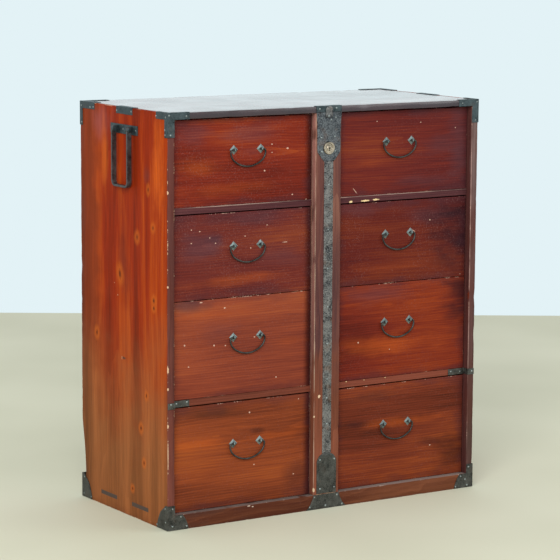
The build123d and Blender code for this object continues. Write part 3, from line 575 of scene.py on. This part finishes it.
low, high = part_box("left_side_board")
left_lacquer = lacquered_wood(
    "red lacquer on the left side board", low, high, "YZX", ("#651D09", "#922C0A", "#B54C13"),
    (0.05, 0.4, 0.06, 1.0, 1.2), spacing=0.009, clouds=((13, 0.6, 13), 0.6), streaks=0.22, fibres=0.22, arches=0.12,
    patina=("#5A2414", 0.02, 0.25), chip_chance=0.012, rub=0.0012, rubbed="#D2B090", scuffs=0.03, shine=0.03,
    knots=[(-123, 812, 5, 8, 0), (-69, 693, 7, 9, 10), (-146, 723, 6, 7, 0), (16, 593, 9, 14, -12),
           (-150, 549, 7, 8, 0), (-150, 531, 6, 6, 0), (135, 432, 7, 9, 0), (-113, 313, 5, 7, 0),
           (-86, 229, 6, 8, 0), (-100, 145, 5, 7, 0), (-43, 71, 5, 6, 0)],
    chips=[(-214, 813, 3, 6, 0, -452, 4), (-214, 590, 3, 4, 0, -452, 4), (-214, 392, 3, 12, 0, -452, 4),
           (-214, 345, 3, 5, 0, -452, 4), (-214, 255, 3, 6, 0, -452, 4), (-214.6, 180, 1.4, 60, 0, -452, 2),
           (45, 568, 2, 2, 0), (28, 540, 2, 2, 0), (8, 387, 1.2, 6, 0)],
    smudges=[("#8E4A46", 0.6, 110, 960, 60, 45, 0), ("#6A2414", 0.7, -5, 640, 26, 150, 0),
             ("#C8601E", 0.6, 90, 870, 16, 90, 0), ("#CC5E1C", 0.6, -165, 860, 30, 110, 0),
             ("#7A3A30", 0.6, -120, 845, 16, 22, 0), ("#33302E", 0.8, -2, 388, 10, 3, 0),
             ("#84493A", 0.5, -214.5, 170, 6, 330, 0, -444, 14)],
    faces=[("#742E13", "X", 0.09, 0.17, 0.05), painted_floor_reflection, ("#6E3A34", *inner_face[-1]), ("#5F3A36", *front_edge)])
left_board = old_board("left_side_board", left_lacquer, [(2, 0.012), (1, 0.03)])

# The right board's lower part also gets the painted reflection of the floor.
low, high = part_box("right_side_board")
right_lacquer = lacquered_wood(
    "red lacquer on the right side board", low, high, "YZX", ("#5E1D0B", "#862C0D", "#A84A14"),
    (-0.04, 0.6, -0.07, 0.8, -0.9), spacing=0.008, clouds=((13, 0.6, 13), 0.6), streaks=0.22, fibres=0.22,
    arches=0.12, patina=("#5A2A1E", 0.02, 0.35), chip_chance=0.012, rub=0.0008, rubbed="#C9A694", scuffs=0.1,
    knots=[(60, 690, 6, 9, 0), (-90, 420, 5, 8, 0), (110, 240, 6, 10, 8)],
    smudges=[("#867470", 0.7, -214.5, 900, 6, 150, 0, 444, 14), ("#4C3A32", 0.7, -214.5, 150, 6, 200, 0, 444, 14),
             ("#C4A096", 0.9, -214.8, 560, 1.6, 400, 0, 433.6, 2.2)],
    faces=[painted_floor_reflection, ("#5C3532", *inner_face[1]), ("#644541", *front_edge)])
old_board("right_side_board", right_lacquer, [(2, 0.012), (1, 0.03)])

low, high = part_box("top_board")
top_lacquer = lacquered_wood(
    "glossy red lacquer on the top board", low, high, "YXZ", ("#34120A", "#541F14", "#6A2B18"),
    (0.03, 0.1, 0.9, 0.3, 0.5), spacing=0.008, clouds=((5, 1.2, 5), 0.6), patina=("#4A2A2C", 0.02, 0.3), rub=0.0004,
    gloss=0.16, shine=0.2, coat=1.0, chip_chance=0.01, scuffs=0.0,
    faces=[("#2B1B20", *front_edge)])
old_board("top_board", top_lacquer, [(0, 0.012), (1, 0.03)])
print("left board faces", len(left_board.data.polygons))

# %% [markdown]
# ## The front: rails, drawer fronts and the base rail
# The drawer fronts sit 18 mm back from the case's edge, in a frame of rails. Their grain runs from side to side, and
# each front was cut from another plank, so each has its own tones and its own arches. Years of opening have flaked
# the lacquer around the pulls and along the lower edges, and dirt has dulled some places to purple-grey.

# %% Drawer fronts
dull, glow = "#54343A", "#B4521C"  # dirt under the lacquer, and lacquer worn thin over bright wood
front_looks = {
    # place: tones, pith (across, along, through, tilt, turn), patina share,
    # chips (height, place, half sizes, turn) and smudges (tone, strength, height, place, half sizes, turn) in mm
    "left_top": (("#461310", "#782818", "#9F471E"), (0.90, -0.25, -0.17, 1.3, 1.0), 0.5,
                 [(913, -152, 2, 3, 0), (901, -107, 3, 5, 0), (850, -173, 3, 3, 0), (788, -93, 2.5, 3, 0),
                  (774, -53, 2, 3, 0), (893, -152, 2, 2, 0)],
                 [(glow, 0.35, 866, -351, 22, 60, 0), (glow, 0.2, 812, -290, 16, 130, -2),
                  (dull, 0.45, 945, -375, 30, 60, 0), (dull, 0.4, 940, -220, 22, 90, 0),
                  (dull, 0.35, 900, -205, 14, 40, 0)]),
    "left_upper": (("#3E1519", "#662922", "#894224"), (0.69, -0.10, -0.20, 0.8, -0.7), 0.55,
                   [(719, -377, 2.2, 2.2, 0), (714, -354, 2, 3, 0), (697, -326, 1.6, 2.4, 20), (687, -377, 2, 2.4, 0),
                    (683, -310, 1.6, 3, 0), (695, -227, 2.4, 2.2, 0), (718, -165, 1.6, 2.4, 0),
                    (673, -113, 1.3, 10, 0), (665, -211, 2, 2.4, 0)],
                   [("#3E2C36", 0.6, 692, -312, 20, 24, 0), (dull, 0.6, 675, -350, 50, 60, 0),
                    (dull, 0.5, 735, -210, 18, 120, 0), (glow, 0.3, 590, -250, 14, 140, -2),
                    (dull, 0.35, 640, -120, 26, 70, 0)]),
    "left_lower": (("#5E2822", "#894029", "#A2562E"), (0.35, -0.30, -0.19, 1.1, 0.8), 0.4,
                   [(543, -350, 2, 6, 0), (525, -284, 3, 3, 0), (433, -282, 2, 3, 0), (443, -396, 3, 3, 0),
                    (436, -314, 3, 3, 0), (447, -200, 2, 3, 0), (342, -137, 2, 3, 0), (390, -385, 2, 3, 0)],
                   [(glow, 0.2, 510, -311, 10, 110, -1), ("#4E3232", 0.7, 540, -385, 16, 60, 0),
                    (dull, 0.4, 470, -300, 26, 50, 0), (glow, 0.2, 430, -90, 12, 50, 0)]),
    "left_bottom": (("#552618", "#853F21", "#A65622"), (0.22, -0.20, -0.16, -0.9, -0.9), 0.4,
                    [(262, -213, 3, 3, 0), (281, -71, 2, 2, 0), (131, -200, 2, 3, 0), (94, -85, 2, 3, 0)],
                    [(glow, 0.35, 200, -350, 16, 90, 0), (glow, 0.35, 200, -120, 14, 90, 0),
                     ("#4E2A1C", 0.6, 270, -325, 14, 110, 0), ("#4C241C", 0.6, 90, -75, 40, 45, 0),
                     ("#3E2018", 0.5, 215, -190, 8, 20, 0)]),
    "right_top": (("#3D141A", "#65241D", "#89401F"), (0.92, 0.15, -0.18, 1.0, 0.9), 0.55,
                  [(955, 155, 2, 2, 0), (786, 91, 1.2, 12, 50), (905, 250, 2, 2, 0), (930, 395, 2, 2, 0)],
                  [(dull, 0.65, 880, 415, 110, 40, 0), (dull, 0.4, 888, 348, 26, 60, 0),
                   (glow, 0.15, 852, 130, 12, 90, -2), (dull, 0.4, 800, 300, 16, 110, 0)]),
    "right_upper": (("#351119", "#5A1F18", "#77341C"), (0.60, 0.30, -0.17, -1.1, 0.8), 0.5,
                    [(700, 320, 2, 3, 0), (676, 270, 1.2, 8, 30)],
                    [(dull, 0.45, 740, 110, 18, 90, 0), (dull, 0.4, 712, 330, 22, 80, 0),
                     ("#26131A", 0.9, 660, 440, 120, 115, 0), (glow, 0.1, 590, 220, 14, 130, 0)]),
    "right_lower": (("#3D110F", "#6B2417", "#913C19"), (0.50, 0.10, -0.21, 0.9, -1.0), 0.45,
                    [(380, 200, 2, 2, 0), (405, 105, 3, 3, 0)],
                    [(glow, 0.4, 390, 180, 26, 150, -1), (dull, 0.4, 520, 150, 22, 110, 0),
                     ("#2C1317", 0.85, 510, 440, 100, 75, 0)]),
    "right_bottom": (("#3C1A10", "#6C2E1C", "#98491E"), (0.10, 0.35, -0.18, 1.2, 0.9), 0.45,
                     [(120, 330, 2, 3, 0)],
                     [(glow, 0.45, 190, 250, 14, 120, 0), ("#3E1E1E", 0.6, 198, 92, 12, 34, 0),
                      ("#43201C", 0.5, 262, 140, 14, 90, 0), ("#3A1A18", 0.4, 130, 330, 14, 40, 0),
                     ("#33160F", 0.7, 95, 410, 60, 80, 0)]),
}
scuffed = ("left_top", "left_upper", "right_upper")  # the fronts with the most pale flecks
for place, (tones, pith, share, chips, smudges) in front_looks.items():
    node = f"drawer_front_{place}"
    low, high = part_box(node)
    # Next to the bar the left drawers' ends get a dark band: a painted shadow of the bar, which stands proud of them.
    painted_bar_shadow = [("#43180F", "Y", -0.062, -0.041, 0.0)] if place.startswith("left") else []
    finish = lacquered_wood(f"dark red lacquer on the {place.replace('_', ' ')} drawer", low, high, "ZXY", tones,
                            pith, arches=0.14, patina=("#43262C", 0.024, share), chips=chips, smudges=smudges,
                            faces=painted_bar_shadow, scuffs=0.2 if place in scuffed else 0.1,
                            chip_chance=0.055 if place in scuffed else 0.035)
    old_board(node, finish, [(0, 0.012), (2, 0.03)], wear=0.0003, dent=0.0009)
print("drawer fronts", len(front_looks))

# %% [markdown]
# The rails between the drawers and the base rail are darker than the fronts, almost purple, because dirt gathers on
# them. The rails share one CAD node with the panels behind them, and they touch, so the node is kept and dressed.
# Their upper arrises are rubbed pale in long thin lines, which are listed as smudges. Among the faces, the lower
# rails get a redder tone and the panels, which lie further back, the tone of planed wood.

# %% Rails and base rail
# The thin grey band on the base rail's top face is partly dust and partly a painted sheen of the light on that face.
low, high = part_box("base_rail")
base_lacquer = lacquered_wood(
    "worn lacquer on the base rail", low, high, "ZXY", ("#421D14", "#5F3523", "#7C4A32"), (0.05, 0.0, -0.1, 0.5, 0.6),
    patina=("#45302A", 0.01, 0.4), rub=0.0008, rubbed="#BCA898", chip_chance=0.06,
    chips=[(34, -225, 2, 6, 0), (31, -214, 2, 4, 0)], faces=[("#7A6C66", "X", high.z - 0.0010, high.z - 0.0003, 0.0)])
old_board("base_rail", base_lacquer, [(0, 0.01)], dent=0.002)

low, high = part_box("drawer_rails")
rail_lacquer = lacquered_wood(
    "purple-brown lacquer on the drawer rails", low, high, "ZXY", ("#3A2024", "#553032", "#6E4644"),
    (0.5, 0.0, -0.1, 0.5, 0.6), patina=("#2E1A1A", 0.001, 0.0), chip_chance=0.06, rub=0.0, rubbed="#E2C896",
    chips=[(760, 79, 4, 8, 0), (760, 122, 3, 16, 0), (761, 153, 3, 14, 0), (310, 70, 1.2, 3, 0),
           (309, 124, 1.2, 2, 0), (309, 188, 1.4, 2, 0)],
    smudges=[("#B89C90", 0.95, 772.4, side * 236, 1.6, 230, 0) for side in (-1, 1)],
    faces=[("#743D2E", "X", 0.45, 0.44, 0.0), (planed_tone, "Z", -0.15, -0.14, 0.0)])
dress("drawer_rails", rail_lacquer)
print("rails", [round(c, 3) for c in low], [round(c, 3) for c in high])

# %% [markdown]
# ## The locking bar
# One upright bar of the same wood stands in front of both columns of drawers and locks them. Its sides are clear to
# see from the left, with arrises rubbed pale, and its front is nearly hidden by irons. The stile behind it is dressed
# alike, and the partition behind the stile, which shares its node, is bare wood.

# %% Locking bar and stile
bar_look = dict(tones=("#432B2D", "#69423A", "#8A6050"), pith=(0.03, 0.5, -0.06, 0.7, 0.8),
                clouds=((14, 1.2, 14), 0.5), streaks=0.3)
bar_foot = 0.0373  # the height of the bar's shoulders, above its foot tenon
bar_sides = [("#9A6A60", "X", side * 0.0362, side * 0.0370, 0.0) for side in (-1, 1)]
low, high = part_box("locking_bar")
low.z = bar_foot
bar_lacquer = lacquered_wood(
    "red-brown lacquer on the locking bar", low, high, "XZY", **bar_look, patina=("#4A2A2C", 0.008, 0.3),
    rub=0.0008, rubbed="#D2B898", chip_chance=0.03,
    chips=[(-36.5, 50, 4, 8, 0, -214, 5), (-36.5, 235, 3, 4, 0, -214, 5), (-22, 285, 5, 6, 0, -215, 5)],
    smudges=[("#D0B49C", 0.9, -36.8, 500, 1.2, 470, 0, -214.5, 2), ("#C4A090", 0.6, -36.8, 640, 1.2, 330, 0, -201, 2)],
    faces=[*bar_sides, ("#7E4936", "Y", 0.46, 0.26, 0.1)])
old_board("locking_bar", bar_lacquer, [(2, 0.01)], wear=0.0004, dent=0.0012)
print("bar", [round(c, 4) for c in low], [round(c, 4) for c in high])

low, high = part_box("centre_partition")
stile_lacquer = lacquered_wood(
    "red-brown lacquer on the centre stile, bare wood behind it", low, high, "XZY", **bar_look, rub=0.0,
    patina=("#4A2A2C", 0.001, 0.0), faces=[(planed_tone, "Z", -0.1765, -0.1755, 0.0)])

# %% [markdown]
# ## The irons
# Each iron is cut from plate by hand, so its outline isn't quite straight and its face isn't quite flat. The CAD
# plate is joined, cut into cells of a few millimetres, and moved by two noises, by a few tenths of a millimetre in
# each direction. No point leaves the box of its CAD node, so the chest doesn't grow. Then the edges are rounded.

# %% Hammer the plates
def hammered(node, finish, cell=0.006, waver=0.0005, rounding=0.0003):
    """A CAD iron as hand-cut plate: an uneven outline, a slightly wavy face and soft edges."""
    shape = joined_copy(node)
    low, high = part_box(node)
    for axis in range(3):
        if high[axis] - low[axis] > cell:
            cut_across(shape, axis, cell)
    fine, slow, elsewhere = 90, 35, Vector((3, 1, 2))  # noise per metre, and a shift that parts the two
    for v in shape.verts:
        push = noise.noise_vector(v.co * fine) * waver + noise.noise_vector(v.co * slow + elsewhere) * waver
        for i in range(3):
            v.co[i] = min(max(v.co[i] + push[i], low[i]), high[i])
    round_arrises(shape, rounding, segments=1, sharper_than=50)
    return make_piece(node + "_hammered", shape, finish, (node,))


for node, finish in (("corner_irons", black_iron), ("foot_irons", foot_iron), ("rail_straps", foot_iron),
                     ("keeper_plate", black_iron), ("base_centre_plate", foot_iron), ("lock_plate", lock_iron),
                     ("bar_strap", bar_iron), ("bar_foot_plate", foot_iron), ("hasp_tongue", bar_iron)):
    cell = 0.012 if node in ("corner_irons", "foot_irons") else 0.006
    waver = 0.00015 if node == "foot_irons" else 0.0005  # a drawer slides past the feet with little room
    iron = hammered(node, finish, cell, waver)
    print(iron.name, len(iron.data.polygons))

# %% [markdown]
# ## Nails
# The irons are held by small round-headed nails, rubbed pale by years of hands. They are too small for the CAD model
# and are made here: one squashed dome each, half sunk in its plate, all nails of a body in one piece.

# %% Drive the nails
def drive_nails(name, body, places, radius=0.0024, height=0.0009):
    """A nail head at each place, in mm, facing a direction."""
    shape = bmesh.new()
    for point, facing in places:
        head = bmesh.ops.create_uvsphere(shape, u_segments=10, v_segments=6, radius=1.0)["verts"]
        width = radius * random.uniform(0.85, 1.15)
        squash = Matrix.Diagonal((width, width * random.uniform(0.9, 1.1), height, 1.0))
        turn = Vector((0, 0, 1)).rotation_difference(Vector(facing)).to_matrix().to_4x4()
        bmesh.ops.transform(shape, verts=head,
                            matrix=Matrix.Translation(Vector(point) / 1000) @ turn @ squash)
    return make_piece(name, shape, nail_iron, body=body, crisp=60)


front = (0, -1, 0)
plate_y, rail_y, flank_x, clip_x = -216.2, -198.2, 453.7, 454.6  # where the nails of the case sit, in mm
bar_y, hasp_y = -216.5, -218
case_nails = [((x, plate_y, z), front) for x, z in (
    (-401.5, 991.5), (-448.2, 994.5), (-444.3, 948), (402.6, 992), (448, 994.5), (444, 948),
    (-439.6, 53.2), (-417, 31.6), (-440.2, 10.4), (-401, 7.2), (440.2, 53.5), (415.7, 31.1), (429.7, 22),
    (436.1, 6), (400, 5.4), (-27, 994), (21.4, 995), (-34.6, 32), (32.4, 31), (-48.1, 7.8), (-1.7, 7.8),
    (48, 5.8), (-444, 307.4), (445.2, 304))]
case_nails += [((x, rail_y, z), front) for x, z in ((-418.6, 304), (-390, 305.9), (392.4, 304.7), (421.3, 302.6))]
flank = [(-163.6, 990.9), (-208, 990), (-205, 960), (-206, 948.7), (147, 990), (162.9, 988.7), (206, 949.2),
         (208, 990), (27, 990.4), (-44, 992.2), (-164.5, 7.5), (-204.1, 53.5), (-206, 20), (202.8, 52.1),
         (206.1, 9.2), (168.3, 7.2)]
case_nails += [((side * flank_x, y, z), (side, 0, 0)) for side in (-1, 1) for y, z in flank]
case_nails += [((side * clip_x, y, 947.8), (side, 0, 0)) for side in (-1, 1) for y in (-5.4, 49, -67)]
drive_nails("nails_of_the_case", "case", case_nails)
bar_nails = [((x, bar_y, z), front) for x, z in (
    (-21.8, 971.4), (19.3, 972), (6.2, 967.4), (-22.3, 924.3), (17.1, 925.7), (-19.9, 889.6), (18, 890),
    (0.5, 808.4), (0, 698), (-0.5, 601.7), (0.5, 506.3), (0, 415.3), (0.5, 326.3), (-0.5, 278.6), (0, 213.8),
    (-18.9, 124.6), (23.4, 123.4), (-18.2, 51), (23.5, 52))]
bar_nails += [((-1.5, hasp_y, 976.2), front)]
drive_nails("nails_of_the_bar", "locking_bar", bar_nails)
print("nails", len(case_nails), len(bar_nails))

# %% [markdown]
# ## Pulls, boss and carrying handles
# Each pull is a round wire bail whose ends turn in two split pins over pyramid washers. These come from the CAD
# model as they are. The wire is a little pitted, the washers are paler, and the brass boss is dull.

# %% Dress the fittings
for place in front_looks:
    dress(f"pull_bail_{place}", pull_iron, rounding=0)
    dress(f"pull_fixings_{place}", washer_iron, rounding=0.0002)
dress("lock_boss", brass, rounding=0.0003)
dress("lock_case", black_iron, rounding=0.0002)
dress("lock_bolt", black_iron, rounding=0.0003)
for side in ("left", "right"):
    dress(f"carrying_handle_loop_{side}", handle_iron, rounding=0.0009)
    dress(f"carrying_handle_plate_{side}", black_iron, rounding=0.0005)
print("fittings dressed")

# %% [markdown]
# ## Inside
# What shows when a drawer is pulled out: the tray, the panels and guides it runs on, and the back boards.

# %% Dress the inner boards
for place in front_looks:
    dress(f"drawer_tray_{place}", inner_lengthwise, rounding=0.0005)
dress("middle_shelves", inner_crosswise)
dress("drawer_guides", inner_lengthwise)
dress("centre_partition", stile_lacquer)
dress("back_boards", back_wood, rounding=0.001)
dress("bottom_board", tenoned_bottom)
print("undressed nodes", [n for n, o in frame["nodes"].items() if not o.data.materials])
